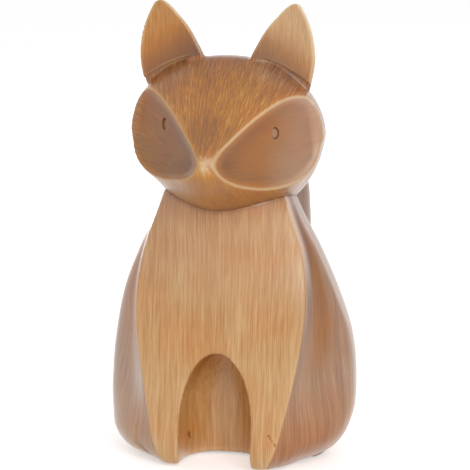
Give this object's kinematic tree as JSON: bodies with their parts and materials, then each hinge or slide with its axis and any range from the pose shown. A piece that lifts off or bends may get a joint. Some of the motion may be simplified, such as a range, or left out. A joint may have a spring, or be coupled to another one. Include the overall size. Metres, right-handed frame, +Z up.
{
  "type": "fox figurine",
  "caption": "Stylised seated fox ornament with scooped masks, pointed ears, an arched hollow between the forelegs and an upright tail, painted like carved wood.",
  "frame": {"origin": "middle of the outline on the surface that the figurine stands on", "axes": "+Z up, the fox looks along -Y, +X to the fox's left"},
  "size_m": [0.1178, 0.1086, 0.2156],
  "materials": {
    "resin": "polyresin painted with brushed wood grain, satin, dark wash in the grooves and light rubbed ridges",
    "eye_resin": "the same painted resin with a dark line round the edge",
    "dowel_wood": "plain turned beech",
    "pin_steel": "bright wire",
    "plate_board": "thin fibreboard, smooth",
    "plug_rubber": "matt black rubber",
    "felt": "dark brown wool felt"
  },
  "bodies": {
    "root": {"body": "resin", "head": "resin", "tail": "resin", "eye_left": "eye_resin", "eye_right": "eye_resin", "neck_dowel": "dowel_wood", "tail_pin_upper": "pin_steel", "tail_pin_lower": "pin_steel", "base_plate": "plate_board", "pour_plug": "plug_rubber", "felt_pad_paw_left": "felt", "felt_pad_paw_right": "felt", "felt_pad_haunch_left": "felt", "felt_pad_haunch_right": "felt"}
  },
  "joints": []
}
